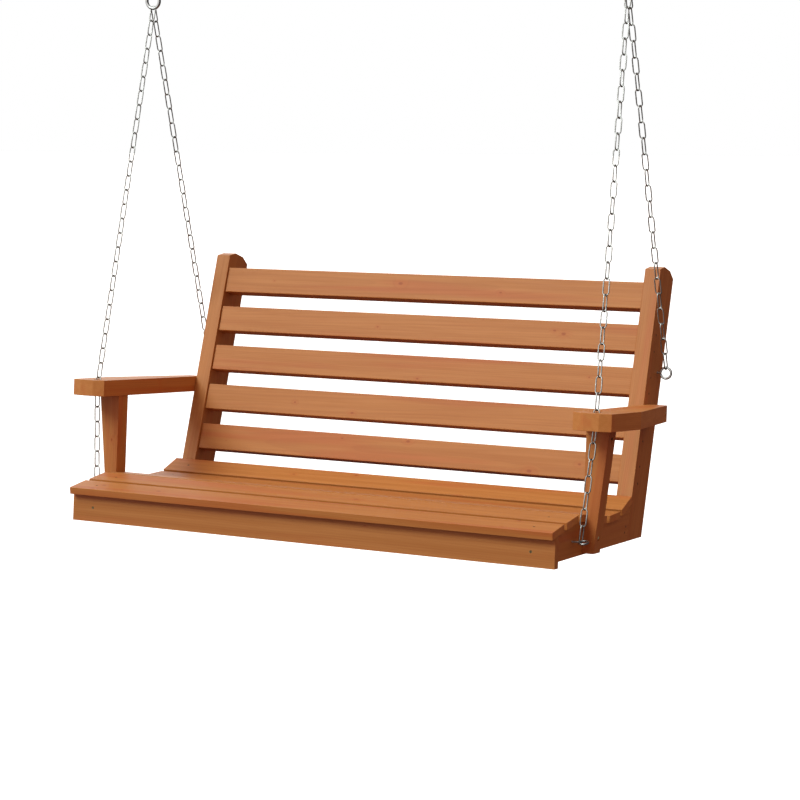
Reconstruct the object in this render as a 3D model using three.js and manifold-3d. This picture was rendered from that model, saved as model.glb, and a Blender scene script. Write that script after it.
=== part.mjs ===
// Four-foot porch swing: a slatted wooden bench hung on four chains from two ceiling hangers.
//
// Lengths are millimetres, +Z is up, -Y is the sitter's front and +X the right-hand end seen from
// the front. The origin is on the ceiling, midway between the hangers and straight above the point
// where the bench balances.
//
// The bench has a frame of its own (the group "bench"): its origin is the middle of the front top
// edge of the first seat slat, its armrests are level, and it is turned by HANG_TILT, the angle at
// which its centre of mass hangs under the chains' meeting points.

import * as THREE from 'three';
import { mergeVertices } from 'three/addons/utils/BufferGeometryUtils.js';
import Module from 'manifold-3d';

const wasm = await Module();
wasm.setup();

// ---------------------------------------------------------------- driving dimensions

const GAP = 0.3;                    // left between two pieces that touch

// Seat slats: where each front top edge lies, and how much the slat rises to the rear.
const SLAT = { length: 1219, width: 63, thickness: 16 };
const SEAT_PROFILE = [
  { y: 0, z: 0, slope: 11.5 },
  { y: 76, z: 14.4, slope: 10.5 },
  { y: 155.5, z: 25, slope: -3 },
  { y: 238.5, z: 18.5, slope: -7.5 },
  { y: 316, z: 9.2, slope: 3.8 },
  { y: 387.4, z: 16.8, slope: 23.6 },
];

// Posts stand in the same plane as the side rails. "up" and "back" are measured along and across
// the lean, from the line where the posts' front plane meets z = 0.
const FRAME_OUTER_X = 603.4;
const FRAME_THICKNESS = 38;
const POST = { y: 452, lean: 14.2, depth: 89.5, top: 585, chamferRun: 26.5, chamferDrop: 12.5 };
const BACK_SLAT = { count: 5, width: 63.5, thickness: 38, recess: 5, lowest: 72.4, pitch: 101.4 };

const RAIL_BOTTOM = { frontY: 37, frontZ: -65.5, rearY: 533, rearZ: -57.4 };
const BEARER = { thickness: 19, rearY: 520, rearBottomY: 512, rearZ: 27 };
const APRON = { y: 17.7, thickness: 19, bottomZ: -77 };
const STRETCHER = { y: 426.5, z: -31, side: 38 };

// Armrests: outline of the right one, seen from above.
const ARM = { topZ: 245, thickness: 38, rearY: 550 };
const ARM_OUTLINE = [
  [600, 110], [627, 101], [662, 101], [688, 110], [698, 253], [647, ARM.rearY], [604.4, ARM.rearY],
];
const ARM_HOLE = { x: 640.6, y: 139.3, radius: 9.5 };
const ARM_SUPPORT = { frontY: 177.5, thickness: 38, bottomZ: -59.5, topX: 657.8, bottomX: 629.7 };

// Hardware
const SEAT_SCREW = { headRadius: 2.8, shankRadius: 1.6, length: 42, x: 554.5 };
const APRON_SCREW = { headRadius: 3.3, shankRadius: 1.8, length: 45, x: 554.5, z: -45 };
const ARM_BOLT = { headRadius: 5.8, headHeight: 5, shankRadius: 3, length: 74, y: 536, z: 226, sink: 6 };
const SUPPORT_BOLT = { headRadius: 5.8, headHeight: 5, shankRadius: 3, length: 52, z: -28, sink: 5.6 };
const SUPPORT_SCREW = { headRadius: 4.5, shankRadius: 2.2, length: 60, z: 183, lean: 22, sink: 6 };

// Screw eyes. "reach" is how far one stands out of the wood, "bite" how deep its shank goes in. A
// chain hangs on the rear eye's crown, and on the front eye's rear side, FRONT_HOOK_ANGLE round the ring
// from the point nearest the rear, towards the wood. "roll" turns a ring about its shank, from flat
// with the armrests towards upright, with its rear side up.
const FRONT_EYE = { y: 121, z: -29.2, roll: 15, ringRadius: 9.7, wireRadius: 2.3, reach: 38.2, bite: 30 };
const REAR_EYE = { y: 592.5, z: 316.3, roll: 90, ringRadius: 12.7, wireRadius: 2.8, reach: 37.2, bite: 30 };
const FRONT_HOOK_ANGLE = 60;

// A chain is a plain round bar with the weight of its links: 3 mm wire, 35.2 mm pitch.
const CHAIN_RADIUS = 2.4;
const CHAIN_END_GAP = 4;            // from a bar's end to the armrest's bend, or to an eye's wire
const CHAIN_TOP_GAP = 20;           // from a bar's end to the point where the two chains meet

// Suspension, in the ceiling's frame
const HANG_X = 620;
const HANG_TILT = 6.47;
const MEETING_POINT = { y: 287.6, z: 1149.5 };     // in the bench's frame
const PLATE = { length: 100, width: 44, thickness: 5, holeSpacing: 72, holeRadius: 4.5 };
const HANGER_EYE = { ringRadius: 16, wireRadius: 4.5 };
const QUICK_LINK = { bendRadius: 10.5, wireRadius: 3.5, straight: 26 };
const TOP_RING = { ringRadius: 18, wireRadius: 4 };

// ---------------------------------------------------------------- materials

const wood = new THREE.MeshStandardMaterial({ color: 0xb8733c, roughness: 0.55, metalness: 0 });
const steel = new THREE.MeshStandardMaterial({ color: 0xb9bab8, roughness: 0.32, metalness: 0.9 });
const zinc = new THREE.MeshStandardMaterial({ color: 0x8f8c78, roughness: 0.45, metalness: 0.8 });

// ---------------------------------------------------------------- geometry helpers

const radians = THREE.MathUtils.degToRad;
const AXIS_X = new THREE.Vector3(1, 0, 0);
const AXIS_Y = new THREE.Vector3(0, 1, 0);
const AXIS_Z = new THREE.Vector3(0, 0, 1);

function toSolid(geometry) {
  const bare = geometry.clone();
  bare.deleteAttribute('normal');
  bare.deleteAttribute('uv');
  const merged = mergeVertices(bare, 1e-4);
  const index = merged.index.array;
  const triangles = [];
  for (let i = 0; i < index.length; i += 3) {
    const [a, b, c] = [index[i], index[i + 1], index[i + 2]];
    if (a !== b && b !== c && c !== a) triangles.push(a, b, c);
  }
  return new wasm.Manifold(new wasm.Mesh({
    numProp: 3,
    vertProperties: new Float32Array(merged.attributes.position.array),
    triVerts: new Uint32Array(triangles),
  }));
}

function toGeometry(solid) {
  const { vertProperties, triVerts } = solid.getMesh();
  const geometry = new THREE.BufferGeometry();
  geometry.setAttribute('position', new THREE.BufferAttribute(new Float32Array(vertProperties), 3));
  geometry.setIndex(new THREE.BufferAttribute(new Uint32Array(triVerts), 1));
  geometry.computeVertexNormals();
  return geometry;
}

function cut(geometry, cutters) {
  return toGeometry(cutters.reduce((solid, cutter) => solid.subtract(toSolid(cutter)), toSolid(geometry)));
}

function join(first, second) {
  return toGeometry(toSolid(first).add(toSolid(second)));
}

function extrude(outline, depth) {
  const shape = new THREE.Shape(outline.map(([a, b]) => new THREE.Vector2(a, b)));
  return new THREE.ExtrudeGeometry(shape, { depth, bevelEnabled: false });
}

// An outline of [y, z] points, as a board from x = from to x = to.
function boardAlongX(outline, from, to) {
  const turn = new THREE.Matrix4().makeBasis(AXIS_Y, AXIS_Z, AXIS_X).setPosition(from, 0, 0);
  return extrude(outline, to - from).applyMatrix4(turn);
}

// An outline of [x, z] points, as a board from y = from to y = to.
function boardAlongY(outline, from, to) {
  const turn = new THREE.Matrix4().makeBasis(AXIS_X, AXIS_Z, AXIS_Y.clone().negate()).setPosition(0, to, 0);
  return extrude(outline, to - from).applyMatrix4(turn);
}

// Turns a piece made along its own +Y so that it points along a direction, from a point.
function aim(geometry, point, direction) {
  const turn = new THREE.Quaternion().setFromUnitVectors(AXIS_Y, direction.clone().normalize());
  return geometry.applyQuaternion(turn).translate(point.x, point.y, point.z);
}

function bar(from, to, radius, sides = 8) {
  const along = to.clone().sub(from);
  const geometry = new THREE.CylinderGeometry(radius, radius, along.length(), sides);
  return aim(geometry.translate(0, along.length() / 2, 0), from, along);
}

// A countersunk screw: the top of its head is at the origin and it points down its own -Y.
// "grow" widens it on every side, which makes the hole that it sits in.
function countersunkScrew({ headRadius, shankRadius, length }, grow = 0) {
  const head = headRadius + grow;
  const shank = shankRadius + grow;
  const profile = [
    [0, -length - grow], [shank, -length + shank], [shank, shank - head],
    [head, 0], ...(grow ? [[head, 1]] : []), [0, grow ? 1 : 0],
  ];
  return new THREE.LatheGeometry(profile.map(([r, y]) => new THREE.Vector2(r, y)), 10);
}

// A bolt with a round head, sunk below the surface: the surface is at the origin.
function sunkBolt({ headRadius, headHeight = 4, shankRadius, length, sink }, grow = 0) {
  const head = headRadius + grow;
  const shank = shankRadius + grow;
  const top = grow ? 12 : headHeight - sink;
  const profile = [
    [0, -sink - length - grow], [shank, -sink - length], [shank, -sink - grow],
    [head, -sink - grow], [head, top], [0, top],
  ];
  return new THREE.LatheGeometry(profile.map(([r, y]) => new THREE.Vector2(r, y)), 12);
}

function mesh(name, geometry, material) {
  const part = new THREE.Mesh(geometry, material);
  part.name = name;
  return part;
}

const SIDES = [{ label: 'left', sign: -1 }, { label: 'right', sign: 1 }];

// ---------------------------------------------------------------- places in the bench's frame

// A point of the back, "up" along the lean and "back" across it, as [y, z].
function leaning(up, back) {
  const lean = radians(POST.lean);
  return [
    POST.y + up * Math.sin(lean) + back * Math.cos(lean),
    up * Math.cos(lean) - back * Math.sin(lean),
  ];
}

function railBottomZ(y) {
  const { frontY, frontZ, rearY, rearZ } = RAIL_BOTTOM;
  return frontZ + (rearZ - frontZ) * (y - frontY) / (rearY - frontY);
}

// Where the posts' front or rear plane, "back" across the lean, meets the rails' bottom edge.
function postFoot(back) {
  const lean = radians(POST.lean);
  const up = (RAIL_BOTTOM.rearZ + back * Math.sin(lean)) / Math.cos(lean);
  const [y] = leaning(up, back);
  return [y, railBottomZ(y)];
}

// A point of one seat slat, "along" its slope and "below" its top face, as [y, z].
function onSlat({ y, z, slope }, along, below) {
  const angle = radians(slope);
  return [
    y + along * Math.cos(angle) + below * Math.sin(angle),
    z + along * Math.sin(angle) - below * Math.cos(angle),
  ];
}

// The undersides of all the slats, as one line that the rails and bearers follow.
function seatContour() {
  const below = SLAT.thickness + GAP;
  const line = SEAT_PROFILE.flatMap((slat) => [onSlat(slat, 0, below), onSlat(slat, SLAT.width, below)]);
  const [first, second] = line;
  const startY = APRON.y + APRON.thickness + GAP;
  const startZ = first[1] + (second[1] - first[1]) * (startY - first[0]) / (second[0] - first[0]);
  return [[startY, startZ], ...line.slice(1)];
}

const bolts = {
  arm: (sign) => ({
    point: new THREE.Vector3(sign * armOuterX(ARM_BOLT.y), ARM_BOLT.y, ARM_BOLT.z),
    outward: new THREE.Vector3(sign, 0, 0),
  }),
  support: (sign) => ({
    point: new THREE.Vector3(sign * supportOuterX(SUPPORT_BOLT.z), supportMiddleY(), SUPPORT_BOLT.z),
    outward: new THREE.Vector3(sign, 0, 0),
  }),
  supportTop: (sign) => ({
    point: new THREE.Vector3(sign * supportOuterX(SUPPORT_SCREW.z), supportMiddleY(), SUPPORT_SCREW.z),
    outward: new THREE.Vector3(
      sign * Math.sin(radians(SUPPORT_SCREW.lean)), 0, -Math.cos(radians(SUPPORT_SCREW.lean))),
  }),
};

function armOuterX(y) {
  const [kink, rear] = [ARM_OUTLINE[4], ARM_OUTLINE[5]];
  return kink[0] + (rear[0] - kink[0]) * (y - kink[1]) / (rear[1] - kink[1]);
}

function supportOuterX(z) {
  const { bottomZ, bottomX, topX } = ARM_SUPPORT;
  const topZ = ARM.topZ - ARM.thickness;
  return bottomX + (topX - bottomX) * (z - bottomZ) / (topZ - bottomZ);
}

function supportMiddleY() {
  return ARM_SUPPORT.frontY + ARM_SUPPORT.thickness / 2;
}

// Where each seat screw starts, on the slat's top face, and the way out of the wood.
function seatScrewPlace(slat, sign) {
  const [y, z] = onSlat(slat, SLAT.width / 2, 0);
  const angle = radians(slat.slope);
  return {
    point: new THREE.Vector3(sign * SEAT_SCREW.x, y, z),
    outward: new THREE.Vector3(0, -Math.sin(angle), Math.cos(angle)),
  };
}

function apronScrewPlace(sign) {
  return {
    point: new THREE.Vector3(sign * APRON_SCREW.x, APRON.y, APRON_SCREW.z),
    outward: new THREE.Vector3(0, -1, 0),
  };
}

function eyeShankHole(sign, { y, z, bite, wireRadius }) {
  const face = new THREE.Vector3(sign * (FRAME_OUTER_X + 1), y, z);
  const end = new THREE.Vector3(sign * (FRAME_OUTER_X - bite - 1), y, z);
  return bar(face, end, wireRadius + GAP, 10);
}

// How far the middle of an eye's ring is from the wood.
function ringOffset({ ringRadius, wireRadius, reach }) {
  return reach - ringRadius - wireRadius;
}

// The point of each eye's wire that a chain hangs on.
function frontHook(sign) {
  const { y, z, roll, ringRadius } = FRONT_EYE;
  const angle = radians(FRONT_HOOK_ANGLE);
  const x = FRAME_OUTER_X + ringOffset(FRONT_EYE) - ringRadius * Math.sin(angle);
  const back = ringRadius * Math.cos(angle);
  return new THREE.Vector3(sign * x, y + back * Math.cos(radians(roll)), z + back * Math.sin(radians(roll)));
}

function rearHook(sign) {
  const { y, z, ringRadius } = REAR_EYE;
  return new THREE.Vector3(sign * (FRAME_OUTER_X + ringOffset(REAR_EYE)), y, z + ringRadius);
}

// ---------------------------------------------------------------- wooden pieces

function seatSlat(slat) {
  const outline = [
    onSlat(slat, 0, 0), onSlat(slat, 0, SLAT.thickness),
    onSlat(slat, SLAT.width, SLAT.thickness), onSlat(slat, SLAT.width, 0),
  ];
  const holes = SIDES.map(({ sign }) => {
    const { point, outward } = seatScrewPlace(slat, sign);
    return aim(countersunkScrew(SEAT_SCREW, GAP), point, outward);
  });
  return cut(boardAlongX(outline, -SLAT.length / 2, SLAT.length / 2), [...holes, ...supportNotches()]);
}

// The slats overhang the side rails a little, so the one beside the arm supports is notched for them.
function supportNotches() {
  const { frontY, thickness } = ARM_SUPPORT;
  return SIDES.map(({ sign }) => new THREE.BoxGeometry(20, thickness + 8, 80)
    .translate(sign * (FRAME_OUTER_X + 10), frontY - GAP + thickness / 2 + 4, 0));
}

function frontApron() {
  const [first] = SEAT_PROFILE;
  const slope = Math.tan(radians(first.slope));
  const underside = onSlat(first, 0, SLAT.thickness + GAP);
  const topZ = (y) => underside[1] + (y - underside[0]) * slope;
  const rearY = APRON.y + APRON.thickness;
  const outline = [
    [APRON.y, APRON.bottomZ], [rearY, APRON.bottomZ], [rearY, topZ(rearY)], [APRON.y, topZ(APRON.y)],
  ];
  const holes = SIDES.flatMap(({ sign }) => {
    const front = apronScrewPlace(sign);
    const above = seatScrewPlace(first, sign);
    return [
      aim(countersunkScrew(APRON_SCREW, GAP), front.point, front.outward),
      aim(countersunkScrew(SEAT_SCREW, GAP), above.point, above.outward),
    ];
  });
  return cut(boardAlongX(outline, -SLAT.length / 2, SLAT.length / 2), holes);
}

function backSlat(index) {
  const low = BACK_SLAT.lowest + index * BACK_SLAT.pitch;
  const high = low + BACK_SLAT.width;
  const rear = BACK_SLAT.recess + BACK_SLAT.thickness;
  const outline = [
    leaning(low, BACK_SLAT.recess), leaning(low, rear), leaning(high, rear), leaning(high, BACK_SLAT.recess),
  ];
  const halfLength = FRAME_OUTER_X - FRAME_THICKNESS - GAP;
  return boardAlongX(outline, -halfLength, halfLength);
}

function backPost(sign) {
  const { top, depth, chamferRun, chamferDrop } = POST;
  const outline = [
    postFoot(0), postFoot(depth), leaning(top - chamferDrop, depth), leaning(top, depth - chamferRun),
    leaning(top, chamferRun), leaning(top - chamferDrop, 0),
  ];
  const faces = [sign * (FRAME_OUTER_X - FRAME_THICKNESS), sign * FRAME_OUTER_X];
  const board = boardAlongX(outline, Math.min(...faces), Math.max(...faces));
  const { point, outward } = bolts.arm(sign);
  return cut(board, [eyeShankHole(sign, REAR_EYE), aim(sunkBolt(ARM_BOLT, GAP), point, outward)]);
}

function sideRail(sign) {
  const contour = seatContour();
  const lastZ = contour.at(-1)[1];
  const shoulder = leaning(lastZ / Math.cos(radians(POST.lean)), -GAP);
  const foot = leaning(RAIL_BOTTOM.rearZ / Math.cos(radians(POST.lean)), -GAP);
  const outline = [
    ...contour, shoulder, [foot[0], railBottomZ(foot[0])], [contour[0][0], railBottomZ(contour[0][0])],
  ];
  const faces = [sign * (FRAME_OUTER_X - FRAME_THICKNESS), sign * FRAME_OUTER_X];
  const board = boardAlongX(outline, Math.min(...faces), Math.max(...faces));
  const { point, outward } = bolts.support(sign);
  return cut(board, [eyeShankHole(sign, FRONT_EYE), aim(sunkBolt(SUPPORT_BOLT, GAP), point, outward)]);
}

// The inner board that the slats and the apron are screwed to. It laps the rail and the post.
function seatBearer(sign) {
  const contour = seatContour();
  const outline = [
    ...contour, [BEARER.rearY, BEARER.rearZ], [BEARER.rearBottomY, railBottomZ(BEARER.rearBottomY)],
    [contour[0][0], railBottomZ(contour[0][0])],
  ];
  const outerX = FRAME_OUTER_X - FRAME_THICKNESS - GAP;
  const faces = [sign * (outerX - BEARER.thickness), sign * outerX];
  const board = boardAlongX(outline, Math.min(...faces), Math.max(...faces));
  const holes = SEAT_PROFILE.map((slat) => {
    const { point, outward } = seatScrewPlace(slat, sign);
    return aim(countersunkScrew(SEAT_SCREW, GAP), point, outward);
  });
  const front = apronScrewPlace(sign);
  return cut(board, [...holes, aim(countersunkScrew(APRON_SCREW, GAP), front.point, front.outward)]);
}

function rearStretcher() {
  const { y, z, side } = STRETCHER;
  const half = side / 2;
  const outline = [[y - half, z - half], [y + half, z - half], [y + half, z + half], [y - half, z + half]];
  const halfLength = FRAME_OUTER_X - FRAME_THICKNESS - BEARER.thickness - 2 * GAP;
  return boardAlongX(outline, -halfLength, halfLength);
}

function armrest(sign) {
  const bottomZ = ARM.topZ - ARM.thickness;
  const outline = ARM_OUTLINE.map(([x, y]) => [sign * x, y]);
  const board = extrude(outline, ARM.thickness).translate(0, 0, bottomZ);
  const hole = bar(
    new THREE.Vector3(sign * ARM_HOLE.x, ARM_HOLE.y, bottomZ - 1),
    new THREE.Vector3(sign * ARM_HOLE.x, ARM_HOLE.y, ARM.topZ + 1), ARM_HOLE.radius, 20);
  const side = bolts.arm(sign);
  const below = bolts.supportTop(sign);
  return cut(board, [
    hole, aim(sunkBolt(ARM_BOLT, GAP), side.point, side.outward),
    aim(sunkBolt(SUPPORT_SCREW, GAP), below.point, below.outward),
  ]);
}

function armSupport(sign) {
  const { frontY, thickness, bottomZ, topX, bottomX } = ARM_SUPPORT;
  const innerX = FRAME_OUTER_X + GAP;
  const topZ = ARM.topZ - ARM.thickness - GAP;
  const outline = [[innerX, bottomZ], [bottomX, bottomZ], [topX, topZ], [innerX, topZ]];
  const board = boardAlongY(outline.map(([x, z]) => [sign * x, z]), frontY, frontY + thickness);
  const low = bolts.support(sign);
  const high = bolts.supportTop(sign);
  return cut(board, [
    aim(sunkBolt(SUPPORT_BOLT, GAP), low.point, low.outward),
    aim(sunkBolt(SUPPORT_SCREW, GAP), high.point, high.outward),
  ]);
}

// ---------------------------------------------------------------- metal pieces

// A screw eye whose shank points along -X, with its ring flat in the XY plane and its face at x = 0.
function screwEye(eye) {
  const { ringRadius, wireRadius, bite } = eye;
  const centreX = ringOffset(eye);
  const ring = new THREE.TorusGeometry(ringRadius, wireRadius, 8, 18).translate(centreX, 0, 0);
  const neck = new THREE.Vector3(centreX - ringRadius, 0, 0);
  return join(ring, bar(new THREE.Vector3(-bite, 0, 0), neck, wireRadius, 10));
}

function placedEye(name, sign, eye) {
  const part = mesh(name, screwEye(eye), steel);
  part.position.set(sign * FRAME_OUTER_X, eye.y, eye.z);
  part.rotation.set(sign * radians(eye.roll), sign > 0 ? 0 : Math.PI, 0, 'YXZ');
  return part;
}

function hanger() {
  const { length, width, thickness, holeSpacing, holeRadius } = PLATE;
  const plate = new THREE.BoxGeometry(length, width, thickness).translate(0, 0, -thickness / 2);
  const holes = SIDES.map(({ sign }) => bar(
    new THREE.Vector3(sign * holeSpacing / 2, 0, -thickness - 1),
    new THREE.Vector3(sign * holeSpacing / 2, 0, 1), holeRadius, 12));
  const eye = new THREE.TorusGeometry(HANGER_EYE.ringRadius, HANGER_EYE.wireRadius, 8, 20)
    .applyMatrix4(new THREE.Matrix4().makeRotationX(Math.PI / 2))
    .translate(0, 0, hangerEyeZ());
  return join(cut(plate, holes), eye);
}

// The ring of a quick link: two half circles and two straight sides, upright in the YZ plane.
function quickLink() {
  const { bendRadius, wireRadius, straight } = QUICK_LINK;
  const bendSteps = 8;
  const points = [];
  for (const end of [1, -1]) {
    for (let step = 0; step <= bendSteps; step += 1) {
      const angle = end > 0 ? Math.PI * step / bendSteps : Math.PI * (1 + step / bendSteps);
      const y = bendRadius * Math.cos(angle);
      points.push(new THREE.Vector3(0, y, bendRadius * Math.sin(angle) + end * straight / 2));
    }
  }
  return sweptRing(points, wireRadius);
}

// A closed tube of six sides through a flat ring of points in the YZ plane.
function sweptRing(points, radius, sides = 6) {
  const positions = [];
  const index = [];
  const count = points.length;
  const middle = points.reduce((sum, p) => sum.add(p), new THREE.Vector3()).divideScalar(count);
  points.forEach((point, i) => {
    const before = points[(i + count - 1) % count];
    const after = points[(i + 1) % count];
    const along = after.clone().sub(before).normalize();
    const outward = along.clone().cross(AXIS_X);
    if (outward.dot(point.clone().sub(middle)) < 0) outward.negate();
    for (let side = 0; side < sides; side += 1) {
      const angle = 2 * Math.PI * side / sides;
      const offset = outward.clone().multiplyScalar(Math.cos(angle)).addScaledVector(AXIS_X, Math.sin(angle));
      positions.push(...point.clone().addScaledVector(offset, radius).toArray());
      const [a, b] = [i * sides + side, i * sides + (side + 1) % sides];
      const [c, d] = [((i + 1) % count) * sides + side, ((i + 1) % count) * sides + (side + 1) % sides];
      index.push(a, d, b, a, c, d);
    }
  });
  const geometry = new THREE.BufferGeometry();
  geometry.setAttribute('position', new THREE.Float32BufferAttribute(positions, 3));
  geometry.setIndex(index);
  geometry.computeVertexNormals();
  return geometry;
}

// ---------------------------------------------------------------- heights of the suspension

function hangerEyeZ() {
  return -PLATE.thickness - HANGER_EYE.ringRadius;
}

// The bottom of the hanger's eye: the quick link swings around this line.
function swingAxisZ() {
  return hangerEyeZ() - HANGER_EYE.ringRadius;
}

function quickLinkZ() {
  const topWireZ = swingAxisZ() + HANGER_EYE.wireRadius + QUICK_LINK.wireRadius + GAP;
  return topWireZ - QUICK_LINK.bendRadius - QUICK_LINK.straight / 2;
}

// The bottom of the quick link: the top ring sways around this line.
function swayAxisZ() {
  return quickLinkZ() - QUICK_LINK.bendRadius - QUICK_LINK.straight / 2;
}

function topRingZ() {
  const topWireZ = swayAxisZ() + QUICK_LINK.wireRadius + TOP_RING.wireRadius + GAP;
  return topWireZ - TOP_RING.ringRadius;
}

// ---------------------------------------------------------------- assembly

const swing = new THREE.Group();
const bench = new THREE.Group();

SEAT_PROFILE.forEach((slat, i) => {
  bench.add(mesh(`seat_slat_${i + 1}`, seatSlat(slat), wood));
  for (const { label, sign } of SIDES) {
    const { point, outward } = seatScrewPlace(slat, sign);
    bench.add(mesh(`seat_screw_${label}_${i + 1}`, aim(countersunkScrew(SEAT_SCREW), point, outward), zinc));
  }
});

for (let i = 0; i < BACK_SLAT.count; i += 1) {
  bench.add(mesh(`back_slat_${i + 1}`, backSlat(i), wood));
}

bench.add(mesh('front_apron', frontApron(), wood));
bench.add(mesh('rear_stretcher', rearStretcher(), wood));

for (const { label, sign } of SIDES) {
  bench.add(mesh(`side_rail_${label}`, sideRail(sign), wood));
  bench.add(mesh(`seat_bearer_${label}`, seatBearer(sign), wood));
  bench.add(mesh(`back_post_${label}`, backPost(sign), wood));
  bench.add(mesh(`armrest_${label}`, armrest(sign), wood));
  bench.add(mesh(`arm_support_${label}`, armSupport(sign), wood));

  const apron = apronScrewPlace(sign);
  bench.add(mesh(`apron_screw_${label}`, aim(countersunkScrew(APRON_SCREW), apron.point, apron.outward), zinc));
  const arm = bolts.arm(sign);
  bench.add(mesh(`arm_bolt_${label}`, aim(sunkBolt(ARM_BOLT), arm.point, arm.outward), zinc));
  const low = bolts.support(sign);
  bench.add(mesh(`support_bolt_${label}`, aim(sunkBolt(SUPPORT_BOLT), low.point, low.outward), zinc));
  const high = bolts.supportTop(sign);
  bench.add(mesh(`support_screw_${label}`, aim(sunkBolt(SUPPORT_SCREW), high.point, high.outward), zinc));

  bench.add(placedEye(`eye_screw_front_${label}`, sign, FRONT_EYE));
  bench.add(placedEye(`eye_screw_rear_${label}`, sign, REAR_EYE));

  // Chains: the front one bends where it goes through the armrest.
  const meeting = new THREE.Vector3(sign * HANG_X, MEETING_POINT.y, MEETING_POINT.z);
  const bend = new THREE.Vector3(sign * ARM_HOLE.x, ARM_HOLE.y, ARM.topZ - ARM.thickness / 2);
  const chain = (name, from, to, startGap, endGap) => {
    const along = to.clone().sub(from).normalize();
    const start = from.clone().addScaledVector(along, startGap);
    const end = to.clone().addScaledVector(along, -endGap);
    bench.add(mesh(name, bar(start, end, CHAIN_RADIUS), steel));
  };
  chain(`chain_front_upper_${label}`, meeting, bend, CHAIN_TOP_GAP, CHAIN_END_GAP);
  chain(`chain_front_lower_${label}`, bend, frontHook(sign), CHAIN_END_GAP, CHAIN_END_GAP);
  chain(`chain_rear_${label}`, meeting, rearHook(sign), CHAIN_TOP_GAP, CHAIN_END_GAP);
}

// The bench hangs with the chains' meeting point straight under the swing axis.
const meetingZ = topRingZ() - TOP_RING.ringRadius;
bench.rotation.x = -radians(HANG_TILT);
const meetingInBench = new THREE.Vector3(0, MEETING_POINT.y, MEETING_POINT.z).applyEuler(bench.rotation);
bench.position.set(0, -meetingInBench.y, meetingZ - meetingInBench.z);
swing.add(bench);

for (const { label, sign } of SIDES) {
  const suspension = new THREE.Group();
  suspension.position.x = sign * HANG_X;
  suspension.add(mesh(`hanger_${label}`, hanger(), steel));
  const link = mesh(`quick_link_${label}`, quickLink(), steel);
  link.position.z = quickLinkZ();
  suspension.add(link);
  const ring = mesh(`top_ring_${label}`,
    new THREE.TorusGeometry(TOP_RING.ringRadius, TOP_RING.wireRadius, 8, 20), steel);
  ring.rotation.x = Math.PI / 2;
  ring.position.z = topRingZ();
  suspension.add(ring);
  swing.add(suspension);
}

export default swing;
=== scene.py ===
"""Looks of a four-foot porch swing: stained knotty softwood boards, zinc-plated chains and fittings.

Everything is in metres in the CAD model's frame: +X to the right-hand end seen from the front, +Y to
the rear, +Z up, with the ceiling at z = 0. The bench hangs tilted, so its boards take their
directions from the CAD pieces that they replace.
"""

import math
import random

import bmesh
import bpy
from mathutils import Matrix, Vector


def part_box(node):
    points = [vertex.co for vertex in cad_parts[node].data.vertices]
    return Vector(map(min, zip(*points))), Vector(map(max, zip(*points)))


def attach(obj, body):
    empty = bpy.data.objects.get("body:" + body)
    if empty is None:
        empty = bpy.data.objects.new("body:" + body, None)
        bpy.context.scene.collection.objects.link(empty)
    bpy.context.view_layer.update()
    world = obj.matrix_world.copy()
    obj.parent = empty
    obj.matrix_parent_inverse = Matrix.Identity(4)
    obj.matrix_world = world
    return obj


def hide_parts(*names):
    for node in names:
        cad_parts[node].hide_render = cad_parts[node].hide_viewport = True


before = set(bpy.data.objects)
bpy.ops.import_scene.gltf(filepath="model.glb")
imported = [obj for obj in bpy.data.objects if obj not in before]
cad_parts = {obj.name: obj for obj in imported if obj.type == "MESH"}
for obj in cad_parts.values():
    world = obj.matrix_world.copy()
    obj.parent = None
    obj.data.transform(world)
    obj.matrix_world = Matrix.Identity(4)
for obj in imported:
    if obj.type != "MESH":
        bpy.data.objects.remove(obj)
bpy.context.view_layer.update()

MM = 0.001
SIDES = {"left": -1, "right": 1}
X, Y, Z = Vector((1, 0, 0)), Vector((0, 1, 0)), Vector((0, 0, 1))

WOOD_SLOT = "stained_pine"
CHAIN_SLOT = "chain_steel"
FITTING_SLOT = "bright_zinc_steel"
SCREW_SLOT = "zinc_fastener"

# Boards
EDGE_ROUND = 1.8 * MM             # softened edges of every board
SHARP = math.radians(30)
BOARD_ENDS = 0.7                  # a face whose normal is this near the board's length shows end grain

# Chain: links of round wire, welded on one side
LINK_WIRE = 1.5 * MM              # radius
LINK_WIDTH = 17.0 * MM            # outside
LINK_TURN = math.radians(6)       # of the whole chain about its own line
LINKS_BELOW_ARM = 7               # of the front chain: those from its eye up to the armrest's hole
LINKS_FRONT = 34
LINKS_REAR = 24

# Screw eyes: the radius of the ring's centre line, and of the wire
EYES = {"front": (9.7 * MM, 2.3 * MM), "rear": (12.7 * MM, 2.8 * MM)}
EYE_ROLL = {"front": math.radians(15), "rear": math.radians(90)}    # 0 is flat, with the armrests
FRONT_HOOK = math.radians(60)     # where the front chain hangs, from the ring's rear towards the wood
RING_WIRE = 4.0 * MM              # radius of the top rings' wire

POST_LEAN = math.radians(14.2)

# Places in the bench's own frame, in millimetres
ARM_HOLE = (640.6, 139.3, 226)
RAIL_SCREWS = ((430.1, -24.7), (422.8, -37.5))
# Two screws for each back slat, from the lowest slat up: how far along the lean from its middle
POST_SCREWS = ((10, -29), (8, -33), (14, -23), (13, -26), (13, -26))

# Light
KEY_TOWARDS = (-0.40, -0.57, 0.72)
KEY_STRENGTH = 2.5
KEY_SPREAD = 30                   # degrees across
KEY_COLOUR = (0.84, 1.0, 1.0)
FILL_BELOW = (0.11, 0.02, 0.02, 1)
FILL_ABOVE = (0.51, 0.34, 0.29, 1)

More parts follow.
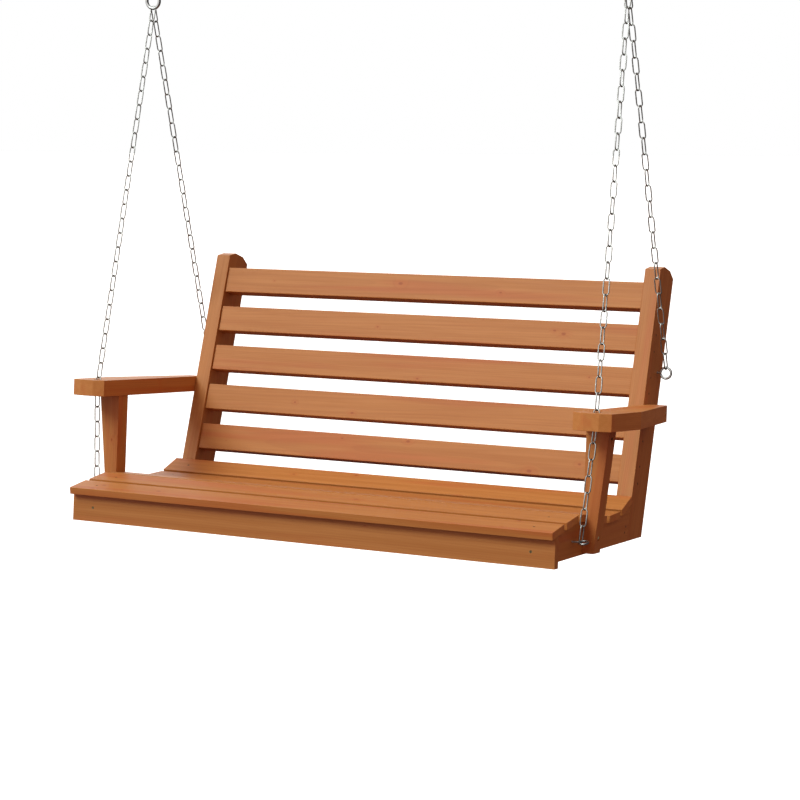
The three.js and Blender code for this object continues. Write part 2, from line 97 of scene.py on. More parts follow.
# Walls that only reflections show: the direction, the cosine off it where one ends, its brightness
WALL_BEHIND = ((-0.50, 0.82, 0.35), 0.80, 1.6)
WALL_IN_FRONT = ((-0.45, -0.60, 0.62), 0.1, 1.9)
BETWEEN_WALLS = (0.06, 0.05, 0.05, 1)

FLOOR_LEVEL = -2.4
FLOOR_HALF = 40.0

# How much lighter or darker each kind of board is painted, by the start of its name; others are 1.
# Painted shade on the apron under the seat's overhang, painted light on the armrests and seat slats
# for the extra light and sheen they catch; the back posts a little darker.
PAINTED_LIGHT_BY_KIND = {"front_apron": 0.90, "armrest": 1.12, "back_post": 0.96, "seat_slat": 1.07}

# Countersunk screws: the radius of each head, and of the shanks
SEAT_HEAD = 2.8 * MM
APRON_HEAD = 3.3 * MM
POST_HEAD = 2.4 * MM
SCREW_SHANK = 1.4 * MM
SHANK_DEPTHS = (1.7, 12, 24, 38)  # millimetres below the surface
HEAD_SUNK = 0.4                   # millimetres below the surface, in seat and apron
HEAD_PROUD = 0.15                 # millimetres above it, in posts and rails

# Bolts and screws with domed heads: the head's radius and height, and the shank's radius
BOLT_SIZE = (5.7 * MM, 4.8 * MM, 2.8 * MM)
SUPPORT_SCREW_SIZE = (4.3 * MM, 3.5 * MM, 2.0 * MM)
DOME = ((0.0, 1.0), (0.45, 1.0), (0.70, 0.93), (0.88, 0.74), (0.97, 0.40), (1.0, 0.06))

FIRST_SEED = 4100                 # each board's random draws start from this and its place in the list


# ---------------------------------------------------------------- camera, light, floor


def add_camera():
    data = bpy.data.cameras.new("camera")
    data.sensor_width = 36
    data.lens = 95.48
    data.shift_y = -0.15
    camera = bpy.data.objects.new("camera", data)
    camera.location = (2.3291, -4.3561, -0.2464)
    camera.rotation_euler = [math.radians(a) for a in (84.161, 0.931, 27.544)]
    bpy.context.scene.collection.objects.link(camera)
    bpy.context.scene.camera = camera


def add_sun(name, towards, strength, spread, colour):
    """A very large, far lamp. towards points from the bench to the lamp."""
    data = bpy.data.lights.new(name, "SUN")
    data.energy = strength
    data.angle = math.radians(spread)
    data.color = colour
    lamp = bpy.data.objects.new(name, data)
    lamp.rotation_euler = Vector(towards).to_track_quat("Z", "Y").to_euler()
    bpy.context.scene.collection.objects.link(lamp)


def add_world():
    """A white studio: a plain white background, and a soft fill that is bright and warm from above
    and dim and red from below. Metal and varnish reflect a large bright wall in front, to the left
    and above, and a smaller, dimmer one behind."""
    world = bpy.data.worlds.new("studio")
    bpy.context.scene.world = world
    world.use_nodes = True
    tree = world.node_tree

    def ramp(value, low, high, to_low, to_high):
        node = tree.nodes.new("ShaderNodeMapRange")
        node.interpolation_type = "SMOOTHSTEP"
        tree.links.new(value, node.inputs["Value"])
        settings = {"From Min": low, "From Max": high, "To Min": to_low, "To Max": to_high}
        for socket, setting in settings.items():
            node.inputs[socket].default_value = setting
        return node.outputs["Result"]

    def choose(factor, first, second):
        node = tree.nodes.new("ShaderNodeMix")
        node.data_type = "RGBA"
        for value, socket in ((factor, node.inputs[0]), (first, node.inputs[6]), (second, node.inputs[7])):
            if isinstance(value, tuple):
                socket.default_value = value
            else:
                tree.links.new(value, socket)
        return node.outputs[2]

    way = tree.nodes.new("ShaderNodeTexCoord").outputs["Generated"]
    split = tree.nodes.new("ShaderNodeSeparateXYZ")
    tree.links.new(way, split.inputs[0])
    fill = choose(ramp(split.outputs["Z"], -0.5, 0.3, 0.0, 1.0), FILL_BELOW, FILL_ABOVE)
    wall = BETWEEN_WALLS
    for direction, narrow, brightness in (WALL_BEHIND, WALL_IN_FRONT):
        towards = tree.nodes.new("ShaderNodeVectorMath")
        towards.operation = "DOT_PRODUCT"
        tree.links.new(way, towards.inputs[0])
        towards.inputs[1].default_value = Vector(direction).normalized()
        facing = ramp(towards.outputs["Value"], narrow, 1.0, 0.0, 1.0)
        wall = choose(facing, wall, (brightness, brightness, brightness, 1))

    path = tree.nodes.new("ShaderNodeLightPath")
    reflected = choose(path.outputs["Is Glossy Ray"], (1.0, 1.0, 1.0, 1), wall)
    colour = choose(path.outputs["Is Diffuse Ray"], reflected, fill)
    tree.links.new(colour, tree.nodes["Background"].inputs["Color"])


def add_floor():
    """A pale floor, far below the bench. It is so bright that it shows no shadow, and it throws no
    light up at the bench."""
    mesh = bpy.data.meshes.new("floor")
    half = FLOOR_HALF
    corners = [(-half, -half), (half, -half), (half, half), (-half, half)]
    mesh.from_pydata([(x, y, FLOOR_LEVEL) for x, y in corners], [], [(0, 1, 2, 3)])
    material = bpy.data.materials.new("floor_white")
    material.use_nodes = True
    surface = material.node_tree.nodes["Principled BSDF"]
    surface.inputs["Base Color"].default_value = (0.93, 0.93, 0.93, 1)
    surface.inputs["Roughness"].default_value = 0.9
    surface.inputs["Specular IOR Level"].default_value = 0.1
    surface.inputs["Emission Color"].default_value = (1, 1, 1, 1)
    surface.inputs["Emission Strength"].default_value = 0.65
    mesh.materials.append(material)
    floor = bpy.data.objects.new("floor", mesh)
    floor.visible_diffuse = False
    floor.visible_glossy = False
    bpy.context.scene.collection.objects.link(floor)


def add_studio():
    add_sun("key", KEY_TOWARDS, KEY_STRENGTH, KEY_SPREAD, KEY_COLOUR)
    add_world()
    add_floor()
    bpy.context.scene.view_settings.view_transform = "Standard"


# ---------------------------------------------------------------- materials


class Nodes:
    """Short helpers to write a material's node tree."""

    def __init__(self, name):
        self.material = bpy.data.materials.new(name)
        self.material.use_nodes = True
        self.tree = self.material.node_tree
        self.surface = self.tree.nodes["Principled BSDF"]

    def add(self, kind, **settings):
        node = self.tree.nodes.new("ShaderNode" + kind)
        for key, value in settings.items():
            if key in node.inputs:
                self.put(value, node.inputs[key])
            else:
                setattr(node, key, value)
        return node

    def put(self, value, socket):
        if isinstance(value, bpy.types.NodeSocket):
            self.tree.links.new(value, socket)
        else:
            socket.default_value = value

    def math(self, operation, *values):
        node = self.tree.nodes.new("ShaderNodeMath")
        node.operation = operation
        for value, socket in zip(values, node.inputs):
            self.put(value, socket)
        return node.outputs[0]

    def attribute(self, name, output="Fac"):
        node = self.tree.nodes.new("ShaderNodeAttribute")
        node.attribute_name = name
        return node.outputs[output]

    def scaled(self, vector, factors):
        node = self.tree.nodes.new("ShaderNodeVectorMath")
        node.operation = "MULTIPLY"
        self.put(vector, node.inputs[0])
        node.inputs[1].default_value = factors
        return node.outputs[0]

    def noise(self, vector, scale, detail=2.0, roughness=0.5):
        node = self.tree.nodes.new("ShaderNodeTexNoise")
        self.put(vector, node.inputs["Vector"])
        node.inputs["Scale"].default_value = scale
        node.inputs["Detail"].default_value = detail
        node.inputs["Roughness"].default_value = roughness
        return node.outputs["Fac"]

    def between(self, value, low, high, to_low=0.0, to_high=1.0, smooth=True):
        node = self.tree.nodes.new("ShaderNodeMapRange")
        node.interpolation_type = "SMOOTHSTEP" if smooth else "LINEAR"
        self.put(value, node.inputs["Value"])
        self.put(low, node.inputs["From Min"])
        self.put(high, node.inputs["From Max"])
        self.put(to_low, node.inputs["To Min"])
        self.put(to_high, node.inputs["To Max"])
        return node.outputs["Result"]

    def mix(self, factor, first, second):
        """Two colours: first where factor is 0, second where it is 1."""
        node = self.tree.nodes.new("ShaderNodeMix")
        node.data_type = "RGBA"
        self.put(factor, node.inputs["Factor"])
        self.put(first, node.inputs[6])
        self.put(second, node.inputs[7])
        return node.outputs[2]

    def bump(self, height, distance, strength):
        node = self.tree.nodes.new("ShaderNodeBump")
        self.put(height, node.inputs["Height"])
        node.inputs["Distance"].default_value = distance
        node.inputs["Strength"].default_value = strength
        return node.outputs["Normal"]


def linear(red, green, blue):
    """An sRGB colour, 0 to 255, as the linear colour a shader wants."""
    return tuple(((c / 255 + 0.055) / 1.055) ** 2.4 for c in (red, green, blue)) + (1.0,)


def stained_pine():
    """Softwood, stained semi-transparent: rings around a pith, fine fibres, small knots.

    Each board stores three attributes: "grain", its own coordinates from the pith of the tree it was
    sawn from, with the first along the board; "face", coordinates on its broad face, for the knots;
    and "tone", its brightness: painted light and shade for its kind of board, times a small random
    spread of its own. "ends" and "edge" mark end grain and rounded edges.
    """
    n = Nodes("stained_pine")
    grain = n.attribute("grain", "Vector")
    face = n.attribute("face", "Vector")
    tone_and_light = n.attribute("tone_and_light")
    ends = n.attribute("ends")
    edge = n.attribute("edge")

    knot_cells = 11.0                 # to a metre
    ring_count = 240.0                # to a metre

    # Knots: one soft spot, long along the board, in some cells of a loose grid on the board's face.
    stretched = n.scaled(face, (0.6, 1.0, 1.0))
    cells = n.add("TexVoronoi", voronoi_dimensions="2D", feature="F1", Vector=stretched,
                  Scale=knot_cells, Randomness=1.0)
    knot_size = n.add("SeparateColor", Color=cells.outputs["Color"])
    radius = n.between(knot_size.outputs[0], 0.45, 1.0, 0.0, 0.060, smooth=False)
    away = cells.outputs["Distance"]
    knot = n.between(away, radius, n.math("MULTIPLY", radius, 0.35), 0.0, 1.0)
    halo = n.between(away, n.math("MULTIPLY", radius, 3.6), radius, 0.0, 1.0)

    # Rings: distance from the pith, wavering along the board and pushed aside by the knots.
    waver = n.noise(n.scaled(grain, (1.1, 6.0, 6.0)), 1.0, detail=2.0)
    split = n.add("SeparateXYZ", Vector=grain)
    across = n.math("POWER", n.math("ADD", n.math("POWER", split.outputs[1], 2.0),
                                    n.math("POWER", split.outputs[2], 2.0)), 0.5)
    pushed = n.math("ADD", across, n.math("MULTIPLY", waver, 0.030))
    pushed = n.math("ADD", pushed, n.math("MULTIPLY", halo, 0.004))
    rings = n.math("FRACT", n.math("MULTIPLY", pushed, ring_count))
    late = n.math("MULTIPLY", n.between(rings, 0.25, 0.92), n.between(rings, 1.0, 0.93))

    # Fibres: fine streaks drawn out along the board, at two scales, and slow blotches in the stain.
    fibre = n.noise(n.scaled(grain, (9.0, 700.0, 700.0)), 1.0, detail=3.0, roughness=0.65)
    streak = n.noise(n.scaled(grain, (2.2, 95.0, 95.0)), 1.0, detail=3.0, roughness=0.6)
    blotch = n.noise(n.scaled(grain, (1.6, 26.0, 26.0)), 1.0, detail=2.0)

    pale = linear(189, 124, 66)
    warm = linear(178, 112, 55)
    dark = linear(148, 78, 36)
    rich = linear(180, 94, 48)
    knot_red = linear(178, 94, 44)
    knot_dark = linear(148, 70, 28)
    colour = n.mix(n.between(streak, 0.30, 0.70), pale, warm)
    colour = n.mix(n.math("MULTIPLY", n.between(blotch, 0.50, 0.68), 0.55), colour, rich)
    colour = n.mix(n.math("MULTIPLY", late, 0.14), colour, dark)
    colour = n.mix(n.math("MULTIPLY", n.between(fibre, 0.46, 0.72), 0.14), colour, dark)
    colour = n.mix(n.math("MULTIPLY", halo, 0.30), colour, knot_red)
    colour = n.mix(n.math("MULTIPLY", knot, 0.70), colour, knot_dark)
    colour = n.mix(n.math("MULTIPLY", ends, 0.30), colour, pale)
    colour = n.mix(n.math("MULTIPLY", edge, 0.12), colour, dark)
    # The board's painted light and shade, with its small random spread, scales the colour's value.
    toned_and_lit = n.add("HueSaturation", Color=colour, Value=tone_and_light, Saturation=1.0)
    n.put(toned_and_lit.outputs["Color"], n.surface.inputs["Base Color"])

    rough = n.between(fibre, 0.3, 0.7, 0.42, 0.52, smooth=False)
    n.put(rough, n.surface.inputs["Roughness"])
    n.surface.inputs["Specular IOR Level"].default_value = 0.25
    relief = n.math("ADD", n.math("MULTIPLY", fibre, 0.6), n.math("MULTIPLY", late, 0.5))
    n.put(n.bump(relief, 0.0001, 0.4), n.surface.inputs["Normal"])
    return n.material


def plated_steel(name, base, rough_low, rough_high, tint=None, metallic=1.0):
    """Zinc-plated steel: faint cloudy patches in its colour and gloss, and a slightly uneven skin."""
    n = Nodes(name)
    place = n.add("TexCoord").outputs["Object"]
    cloud = n.noise(place, 160.0, detail=3.0, roughness=0.6)
    spots = n.noise(place, 900.0, detail=2.0)
    dull = tint or tuple(c * 0.72 for c in base[:3]) + (1.0,)
    colour = n.mix(n.between(cloud, 0.35, 0.75), base, dull)
    n.put(colour, n.surface.inputs["Base Color"])
    n.surface.inputs["Metallic"].default_value = metallic
    n.put(n.between(cloud, 0.3, 0.7, rough_low, rough_high), n.surface.inputs["Roughness"])
    n.put(n.bump(spots, 0.00008, 0.35), n.surface.inputs["Normal"])
    return n.material


add_camera()
add_studio()

PINE = stained_pine()
CHAIN = plated_steel("chain_zinc", linear(170, 167, 162), 0.32, 0.46)
FITTING = plated_steel("fitting_zinc", linear(178, 177, 174), 0.24, 0.38)
# Bolts: yellow zinc, paled almost to white as painted light, since the sides they face get little light.
BOLT_PAINTED_LIGHT = plated_steel("bolt_zinc_painted_light", linear(232, 240, 196), 0.34, 0.52, linear(190, 196, 140), 0.3)
# Screws: yellow zinc, darkened to a dull brown as painted shade for the shadow in the holes they sit in.
SHADED_SCREW = plated_steel("screw_zinc_painted_shade", linear(112, 96, 66), 0.40, 0.56, linear(78, 66, 44))


# ---------------------------------------------------------------- mesh helpers


def put_in_scene(name, mesh, material, body, slot, *nodes):
    """Makes a piece of a finished mesh, in the row frame, on its body, and hides the CAD nodes it
    replaces.
    """
    mesh.materials.clear()
    mesh.materials.append(material)
    piece = bpy.data.objects.new(name, mesh)
    bpy.context.scene.collection.objects.link(piece)
    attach(piece, body)
    if nodes:
        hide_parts(*nodes)


def to_mesh(bm, name):
    mesh = bpy.data.meshes.new(name)
    bmesh.ops.recalc_face_normals(bm, faces=bm.faces)
    bm.to_mesh(mesh)
    bm.free()
    return mesh


def turns(count):
    """Angles evenly spaced round a full turn."""
    return [2 * math.pi * k / count for k in range(count)]


def sweep(bm, points, radii, sides, closed, side_hint):
    """Adds a round tube along points to bm. side_hint is a direction off the line, to start from."""
    count = len(points)
    rings = []
    for i, point in enumerate(points):
        before = points[i - 1] if closed or i > 0 else point
        after = points[(i + 1) % count] if closed or i < count - 1 else point
        along = (after - before).normalized()
        across = (side_hint - along * side_hint.dot(along)).normalized()
        other = along.cross(across)
        radius = radii[i] if isinstance(radii, list) else radii
        rings.append([
            bm.verts.new(point + (across * math.cos(a) + other * math.sin(a)) * radius)
            for a in turns(sides)
        ])
    for i in range(count if closed else count - 1):
        ring, following = rings[i], rings[(i + 1) % count]
        for k in range(sides):
            face = bm.faces.new((ring[k], ring[(k + 1) % sides], following[(k + 1) % sides], following[k]))
            face.smooth = True
    if not closed:
        bm.faces.new(rings[0])
        bm.faces.new(rings[-1])


def circle(centre, first, second, radius, steps, start=0.0, turn=2 * math.pi):
    """Points on a circle through centre + first * radius, turning towards second."""
    last = steps if turn >= 2 * math.pi - 1e-6 else steps - 1
    angles = [start + turn * i / last for i in range(steps)]
    return [centre + (first * math.cos(a) + second * math.sin(a)) * radius for a in angles]


# ---------------------------------------------------------------- the bench's own directions


def flat_copy(node):
    """The CAD node's mesh, with the triangles of each flat face joined again."""
    bm = bmesh.new()
    bm.from_mesh(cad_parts[node].data)
    bmesh.ops.remove_doubles(bm, verts=bm.verts, dist=0.01 * MM)
    bmesh.ops.dissolve_limit(bm, angle_limit=math.radians(0.5), verts=bm.verts, edges=bm.edges)
    bm.normal_update()
    return bm


def board_axes(bm):
    """A board's length, width and thickness directions."""
    longest = max(bm.edges, key=lambda e: e.calc_length())
    length = (longest.verts[1].co - longest.verts[0].co).normalized()
    if length.dot(X + Y + Z) < 0:
        length.negate()
    broad = max(bm.faces, key=lambda f: f.calc_area()).normal
    thickness = (broad - length * broad.dot(length)).normalized()
    return length, thickness.cross(length), thickness


def bench_frame():
    """The bench's own frame: level armrests, and the first slat's front top edge as its origin."""
    bm = flat_copy("armrest_right")
    up = max(bm.faces, key=lambda f: f.calc_area() * f.normal.z).normal.copy()
    bm.free()
    rear = up.cross(X)
    corners = [v.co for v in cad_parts["seat_slat_1"].data.vertices]
    lowest_y = min(c.dot(rear) for c in corners)
    front = [c for c in corners if c.dot(rear) < lowest_y + 2 * MM]
    origin = max(front, key=lambda c: c.dot(up))
    turn = Matrix((X, rear, up)).transposed().to_4x4()
    return Matrix.Translation((0, origin.y, origin.z)) @ turn


BENCH = bench_frame()


def bench_point(x, y, z):
    """A place in the bench's own frame, in millimetres, as a point of the row frame."""
    return BENCH @ (Vector((x, y, z)) * MM)


def bench_direction(x, y, z):
    return (BENCH.to_3x3() @ Vector((x, y, z))).normalized()


# ---------------------------------------------------------------- boards

# The way out of a side rail's rear end, which is glued flat against its post.
JOINED_END = bench_direction(0, math.cos(POST_LEAN), -math.sin(POST_LEAN))


def add_board(node, rng):
    """A board with rounded edges, in the shape of its CAD node, with its own piece of the tree."""
    bm = flat_copy(node)
    length, width, thickness = board_axes(bm)
    small = 8 * MM
    outline = [
        e for e in bm.edges
        if e.calc_length() > small and len(e.link_faces) == 2 and e.calc_face_angle(0) > SHARP
        and not any(f.normal.dot(JOINED_END) > 0.99 for f in e.link_faces if node.startswith("side_rail"))
    ]
    bmesh.ops.bevel(bm, geom=outline, offset=EDGE_ROUND, offset_type="OFFSET", segments=3,
                    profile=0.5, affect="EDGES", clamp_overlap=True)
    bm.normal_update()
    flat = 0.9995
    axes = (length, width, thickness)
    for face in bm.faces:
        broad = face.calc_area() > small ** 2 or max(abs(face.normal.dot(a)) for a in axes) > flat
        face.smooth = not broad

    corners = [v.co for v in bm.verts]
    middle = [(min(c.dot(a) for c in corners) + max(c.dot(a) for c in corners)) / 2 for a in axes]
    mesh = to_mesh(bm, node)

    # Where the board was in its tree: how far from the pith, and how much it runs out of line.
    pith = Vector((rng.uniform(-30, 30), rng.choice((-1, 1)) * rng.uniform(0.0, 0.05),
                   rng.choice((-1, 1)) * rng.uniform(0.03, 0.09)))
    run_out = Vector((0, rng.uniform(-0.02, 0.02), rng.uniform(-0.03, 0.03)))
    patch = Vector((rng.uniform(-50, 50), rng.uniform(-50, 50), 0))
    grain, face_place = [], []
    for vertex in mesh.vertices:
        own = Vector([vertex.co.dot(a) - m for a, m in zip(axes, middle)])
        grain.extend(own + pith + run_out * own.x)
        face_place.extend(Vector((own.x, own.y, 0)) + patch)
    mesh.attributes.new("grain", "FLOAT_VECTOR", "POINT").data.foreach_set("vector", grain)
    mesh.attributes.new("face", "FLOAT_VECTOR", "POINT").data.foreach_set("vector", face_place)
    # Painted light and shade for the board's kind, times a small random spread of its own.
    kind_light = [value for start, value in PAINTED_LIGHT_BY_KIND.items() if node.startswith(start)]
    tone_and_light = (kind_light[0] if kind_light else 1.0) * rng.uniform(0.98, 1.02)
    mesh.attributes.new("tone_and_light", "FLOAT", "POINT").data.foreach_set("value", [tone_and_light] * len(mesh.vertices))
    ends = [float(abs(p.normal.dot(length)) > BOARD_ENDS) for p in mesh.polygons]
    mesh.attributes.new("ends", "FLOAT", "FACE").data.foreach_set("value", ends)
    edge = [float(p.use_smooth) for p in mesh.polygons]
    mesh.attributes.new("edge", "FLOAT", "FACE").data.foreach_set("value", edge)
    put_in_scene(node + "_board", mesh, PINE, "bench", WOOD_SLOT, node)


def add_boards():
    names = [f"seat_slat_{i}" for i in range(1, 7)] + [f"back_slat_{i}" for i in range(1, 6)]
    names += ["front_apron", "rear_stretcher"]
    for kind in ("side_rail", "seat_bearer", "back_post", "armrest", "arm_support"):
        names += [f"{kind}_{side}" for side in SIDES]
    for index, name in enumerate(names):
        add_board(name, random.Random(FIRST_SEED + index))


# ---------------------------------------------------------------- screws and bolts


def add_cross_head(bm, place, outward, radius):
    """A countersunk head, flush with the wood, with a cross-shaped recess."""
    turn = outward.to_track_quat("Z", "Y").to_matrix().to_4x4()
    seat = Matrix.Translation(place) @ turn
    arm, reach = 0.16 * radius, 0.58 * radius
    cross = [(arm, arm), (reach, arm), (reach, -arm), (arm, -arm), (arm, -reach), (-arm, -reach),
             (-arm, -arm), (-reach, -arm), (-reach, arm), (-arm, arm), (-arm, reach), (arm, reach)]
    rim = [(radius * math.cos(a), radius * math.sin(a)) for a in turns(24)]

    def loop(points, level, scale=1.0):
        return [bm.verts.new(seat @ Vector((x * scale, y * scale, level))) for x, y in points]

    outer = loop(rim, 0.0)
    lower = loop(rim, -0.35 * radius, 0.75)
    top_cross = loop(cross, 0.0)
    low_cross = loop(cross, -0.45 * radius, 0.6)
    edges = []
    for ring in (outer, top_cross):
        edges += [bm.edges.new((ring[k], ring[(k + 1) % len(ring)])) for k in range(len(ring))]
    bmesh.ops.triangle_fill(bm, edges=edges, use_beauty=True)
    for upper, below in ((outer, lower), (top_cross, low_cross)):
        count = len(upper)
        for k in range(count):
            bm.faces.new((upper[k], upper[(k + 1) % count], below[(k + 1) % count], below[k]))
    bm.faces.new(low_cross)
    bm.faces.new(lower)


def head_of(node):
    """Where a CAD screw's head is, and the way out of the wood: its widest end, along its length."""
    bm = flat_copy(node)
    corners = [v.co.copy() for v in bm.verts]
    bm.free()
    centre = sum(corners, Vector()) / len(corners)
    tip = max(corners, key=lambda c: (c - centre).length)
    axis = (centre - tip).normalized()
    top = max(c.dot(axis) for c in corners)
    crown = [c for c in corners if c.dot(axis) > top - 0.2 * MM]
    place = sum(crown, Vector()) / len(crown)
    return place, (place - tip).normalized()


def add_countersunk(node, head):
    place, outward = head_of(node)
    bm = bmesh.new()
    add_cross_head(bm, place - outward * HEAD_SUNK * MM, outward, head)
    shank = [place - outward * d * MM for d in SHANK_DEPTHS]
    sweep(bm, shank, SCREW_SHANK, 10, False, X if abs(outward.x) < 0.9 else Y)
    put_in_scene(node + "_head", to_mesh(bm, node), SHADED_SCREW, "bench", SCREW_SLOT, node)


def add_round_bolt(node, head, head_height, shank, material):
    """A bolt with a low domed head, in a recess a little below the wood's surface."""
    low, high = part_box(node)
    place, outward = head_of(node)
    side = X if abs(outward.x) < 0.9 else Y
    under = place - outward * head_height
    bm = bmesh.new()
    sweep(bm, [under + outward * head_height * rise for rise, _ in DOME],
          [head * share for _, share in DOME], 28, False, side)
    length = max((high - low).x, (high - low).z) - head_height
    sweep(bm, [under, under - outward * length * 0.5, under - outward * length], shank, 12, False, side)
    put_in_scene(node + "_head", to_mesh(bm, node), material, "bench", SCREW_SLOT, node)


def add_fasteners():
    for side in SIDES:
        for i in range(1, 7):
            add_countersunk(f"seat_screw_{side}_{i}", SEAT_HEAD)
        add_countersunk(f"apron_screw_{side}", APRON_HEAD)
        add_round_bolt(f"arm_bolt_{side}", *BOLT_SIZE, BOLT_PAINTED_LIGHT)
        add_round_bolt(f"support_bolt_{side}", *BOLT_SIZE, BOLT_PAINTED_LIGHT)
        add_round_bolt(f"support_screw_{side}", *SUPPORT_SCREW_SIZE, SHADED_SCREW)

    # Screws that the CAD model leaves out: two through each post into each back slat, and two
    # through each side rail into the stretcher. Their heads stand a hair proud of the outer faces.
    face_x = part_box("back_post_right")[1].x / MM
    up = bench_direction(0, math.sin(POST_LEAN), math.cos(POST_LEAN))
    for side, sign in SIDES.items():
        bm = bmesh.new()
        for i, steps in enumerate(POST_SCREWS, 1):
            low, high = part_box(f"back_slat_{i}")
            for step in steps:
                place = (low + high) / 2 + up * step * MM
                place.x = sign * (face_x + HEAD_PROUD) * MM
                add_cross_head(bm, place, X * sign, POST_HEAD)
        put_in_scene(f"post_screws_{side}", to_mesh(bm, "post_screws"), SHADED_SCREW, "bench", SCREW_SLOT)
        bm = bmesh.new()
        for y, z in RAIL_SCREWS:
            place = bench_point(sign * (face_x + HEAD_PROUD), y, z)
            add_cross_head(bm, place, X * sign, POST_HEAD)
        put_in_scene(f"rail_screws_{side}", to_mesh(bm, "rail_screws"), SHADED_SCREW, "bench", SCREW_SLOT)


# ---------------------------------------------------------------- chain


def link_path(centre, along, wide, inside):
    """The centre line of a link of this inside length, and its wire's radius: a weld swells one side."""
    bend = LINK_WIDTH / 2 - LINK_WIRE
    straight = inside / 2 + LINK_WIRE - bend
    steps = 7
    points, radii = [], []
    for end in (1, -1):
        middle = centre + along * straight * end
        arc = circle(middle, wide * end, along * end, bend, steps, turn=math.pi)
        points += arc
        radii += [LINK_WIRE] * steps
        if end == 1:
            for share, swell in ((0.35, 1.0), (0.12, 1.04), (0.0, 1.2), (-0.12, 1.04), (-0.35, 1.0)):
                points.append(centre - wide * bend + along * straight * share)
                radii.append(LINK_WIRE * swell)
    return points, radii


def add_chain(name, start, end, count, first_is_wide, body, node):
    """A taut run of links from start to end. In turn, they lie across the swing and along it."""
    along = (end - start).normalized()
    pitch = (end - start).length / count
    first = X * math.cos(LINK_TURN) - Y * math.sin(LINK_TURN)
    wide = (first - along * first.dot(along)).normalized()
    deep = along.cross(wide)
    bm = bmesh.new()
    for i in range(count):
        centre = start + along * pitch * (i + 0.5)
        in_wide = (i % 2 == 0) == first_is_wide
        across, normal = (wide, deep) if in_wide else (deep, wide)
        points, radii = link_path(centre, along, across, pitch)
        sweep(bm, points, radii, 9, True, normal)
    put_in_scene(name, to_mesh(bm, name), CHAIN, body, CHAIN_SLOT, node)


# ---------------------------------------------------------------- where the chains run


def ring_centre(kind, side):
    """The centre of an eye's ring: its outer end, one ring radius and one wire radius in."""
    ring, wire = EYES[kind]
    low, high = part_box(f"eye_screw_{kind}_{side}")
    middle = (low + high) / 2
    outer = max(abs(low.x), abs(high.x)) - ring - wire
    return Vector((SIDES[side] * outer, middle.y, middle.z))


def ring_side(kind):
    """The direction across an eye's shank, in its ring's plane: its rear side, or its crown."""
    return bench_direction(0, math.cos(EYE_ROLL[kind]), math.sin(EYE_ROLL[kind]))


def add_suspension():
    for side, sign in SIDES.items():
        chains = f"{side}_chains"
        low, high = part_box(f"top_ring_{side}")
        meeting = Vector(((low.x + high.x) / 2, 0, low.z + RING_WIRE))
        x, y, z = ARM_HOLE
        bend = bench_point(sign * x, y, z)

        # Front chain: from its eye's ring, between the rear and the wood, up through the armrest.
        ring, wire = EYES["front"]
        around = ring_side("front") * math.cos(FRONT_HOOK) - X * sign * math.sin(FRONT_HOOK)
        hook = ring_centre("front", side) + around * ring
        up = (bend - hook).normalized()
        start = hook - up * wire
        rise = (meeting - bend).normalized()
        end = meeting + rise * RING_WIRE
        below = (bend - start).length
        pitch = (below + (end - bend).length) / LINKS_FRONT
        split = start + up * pitch * LINKS_BELOW_ARM
        upper_start = bend + rise * (pitch * LINKS_BELOW_ARM - below)
        add_chain(f"links_front_lower_{side}", start, split, LINKS_BELOW_ARM, False, "bench",
                  f"chain_front_lower_{side}")
        add_chain(f"links_front_upper_{side}", upper_start, end, LINKS_FRONT - LINKS_BELOW_ARM, True,
                  chains, f"chain_front_upper_{side}")

        # Rear chain: over the top of its eye's upright ring.
        ring, wire = EYES["rear"]
        hook = ring_centre("rear", side) + ring_side("rear") * ring
        rise = (meeting - hook).normalized()
        add_chain(f"links_rear_{side}", hook - rise * wire, meeting + rise * RING_WIRE, LINKS_REAR, False,
                  chains, f"chain_rear_{side}")


def add_eye(kind, side):
    """A screw eye of bent wire: a shank that turns into an almost closed ring."""
    node = f"eye_screw_{kind}_{side}"
    radius, wire = EYES[kind]
    centre = ring_centre(kind, side)
    out = X * SIDES[side]
    low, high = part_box(node)
    shank_end = Vector((SIDES[side] * min(abs(low.x), abs(high.x)), centre.y, centre.z))
    turn_in = 0.26 * radius
    neck = centre - out * (radius + turn_in)
    start_angle = math.asin(turn_in / radius)
    across = ring_side(kind)
    ring = circle(centre, -out, across, radius, 40, start=start_angle,
                  turn=2 * math.pi - 1.9 * start_angle)
    corner = [
        neck + out * turn_in * math.sin(a) + across * turn_in * (1 - math.cos(a)) * 0.9
        for a in (0.35, 0.8, 1.2)
    ]
    points = [shank_end, shank_end.lerp(neck, 0.5), neck] + corner + ring
    bm = bmesh.new()
    sweep(bm, points, wire, 14, False, out.cross(across))
    put_in_scene(node + "_wire", to_mesh(bm, node), FITTING, "bench", FITTING_SLOT, node)


def add_ring(name, centre, first, second, radius, wire, body, node):
    bm = bmesh.new()
    sweep(bm, circle(centre, first, second, radius, 48), wire, 14, True, first.cross(second))
    put_in_scene(name, to_mesh(bm, name), FITTING, body, FITTING_SLOT, node)


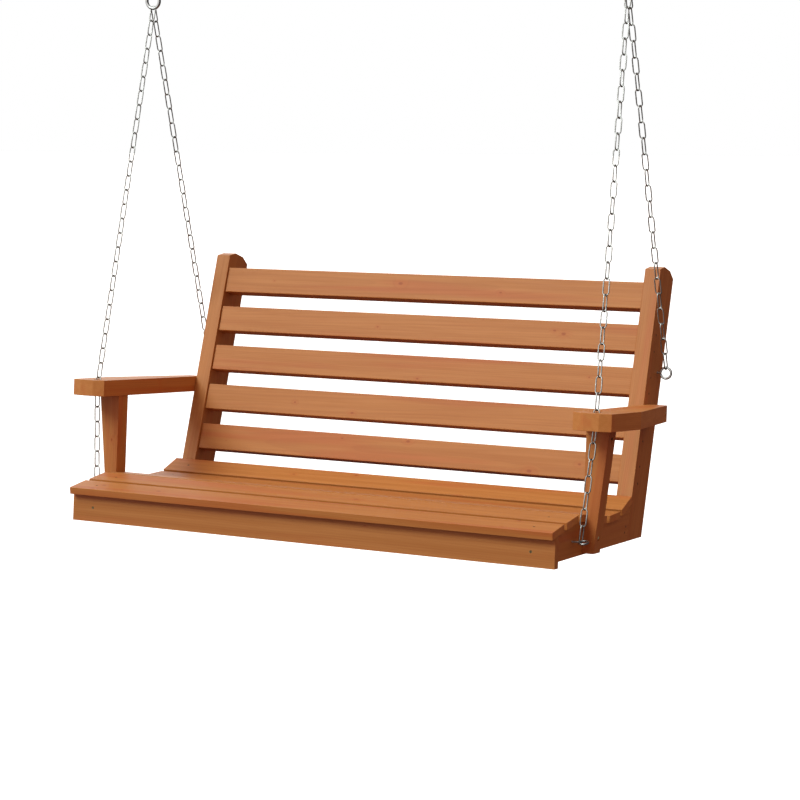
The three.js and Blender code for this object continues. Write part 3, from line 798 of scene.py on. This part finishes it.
def add_quick_link(side):
    """An oval link with a hexagonal sleeve that screws across its gap."""
    node = f"quick_link_{side}"
    low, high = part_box(node)
    centre = (low + high) / 2
    wire = (high.x - low.x) / 2 * 1.1       # a tenth thicker than the CAD solid's
    bend = (high.y - low.y) / 2 - wire
    straight = (high.z - low.z) / 2 - wire - bend
    bm = bmesh.new()
    points = []
    for end in (1, -1):
        points += circle(centre + Z * straight * end, Y * end, Z * end, bend, 14, turn=math.pi)
    sweep(bm, points, wire, 14, True, X)
    sleeve_half = straight * 0.8
    sleeve = [centre + Y * bend + Z * sleeve_half * t for t in (-1, -0.93, 0.93, 1)]
    radii = [wire * 1.45, wire * 1.62, wire * 1.62, wire * 1.45]
    sweep(bm, sleeve, radii, 6, False, X)
    mesh = to_mesh(bm, node)
    put_in_scene(node + "_body", mesh, FITTING, "quick_links", FITTING_SLOT, node)


def rounded_rectangle(half_x, half_y, radius, steps=5):
    points = []
    for quarter, (sx, sy) in enumerate(((1, 1), (-1, 1), (-1, -1), (1, -1))):
        for i in range(steps):
            a = math.pi / 2 * (quarter + i / (steps - 1))
            points.append((sx * (half_x - radius) + radius * math.cos(a),
                           sy * (half_y - radius) + radius * math.sin(a)))
    return points


def add_hanger(side):
    """A plate with rounded corners and two screw holes, and a welded eye below it."""
    node = f"hanger_{side}"
    low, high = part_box(node)
    centre = (low + high) / 2
    thickness = 5 * MM
    hole_radius = 4.5 * MM
    hole_at = 36 * MM
    wire = 4.5 * MM
    bm = bmesh.new()
    outline = rounded_rectangle((high.x - low.x) / 2, (high.y - low.y) / 2, 6 * MM)
    holes = []
    for shift in (-hole_at, hole_at):
        holes.append([(shift + hole_radius * math.cos(a), hole_radius * math.sin(a))
                      for a in turns(20)])
    soft = 0.8 * MM

    def level(points, z, grow=0.0):
        made = []
        for x, y in points:
            way = Vector((x, y, 0)).normalized() * grow if points is outline else Vector()
            made.append(bm.verts.new(Vector((centre.x + x, centre.y + y, z)) + way))
        return made

    rows = []
    for points in [outline] + holes:
        sign = 1 if points is outline else 0
        rows.append([
            level(points, high.z, -soft * sign), level(points, high.z - soft),
            level(points, high.z - thickness + soft), level(points, high.z - thickness, -soft * sign),
        ])
    for row in rows:
        for upper, below in zip(row, row[1:]):
            for k in range(len(upper)):
                following = (k + 1) % len(upper)
                bm.faces.new((upper[k], upper[following], below[following], below[k]))
    for end in (0, -1):
        edges = []
        for row in rows:
            ring = row[end]
            edges += [bm.edges.get((ring[k], ring[(k + 1) % len(ring)])) for k in range(len(ring))]
        bmesh.ops.triangle_fill(bm, edges=edges, use_beauty=True)
    radius = (high.z - thickness - low.z - wire) / 2
    eye = Vector((centre.x, centre.y, low.z + wire + radius))
    sweep(bm, circle(eye, X, Z, radius, 48), wire, 14, True, Y)
    weld_top = high.z - thickness
    beads = 9
    bead_step = 2.6
    for k in range(beads):
        shift = (k - beads // 2) * bead_step * MM
        place = Vector((centre.x + shift, centre.y, weld_top - 0.6 * MM))
        bmesh.ops.create_uvsphere(bm, u_segments=10, v_segments=6, radius=3.4 * MM,
                                  matrix=Matrix.Translation(place) @ Matrix.Diagonal((1, 1.3, 0.7, 1)))
    put_in_scene(node + "_plate", to_mesh(bm, node), FITTING, "ceiling", FITTING_SLOT, node)


def add_fittings():
    for side in SIDES:
        add_eye("front", side)
        add_eye("rear", side)
        low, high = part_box(f"top_ring_{side}")
        centre = (low + high) / 2
        radius = (high.z - low.z) / 2 - RING_WIRE
        add_ring(f"ring_{side}", centre, X, Z, radius, RING_WIRE, f"{side}_chains", f"top_ring_{side}")
        add_quick_link(side)
        add_hanger(side)


add_boards()
add_fasteners()
add_suspension()
add_fittings()
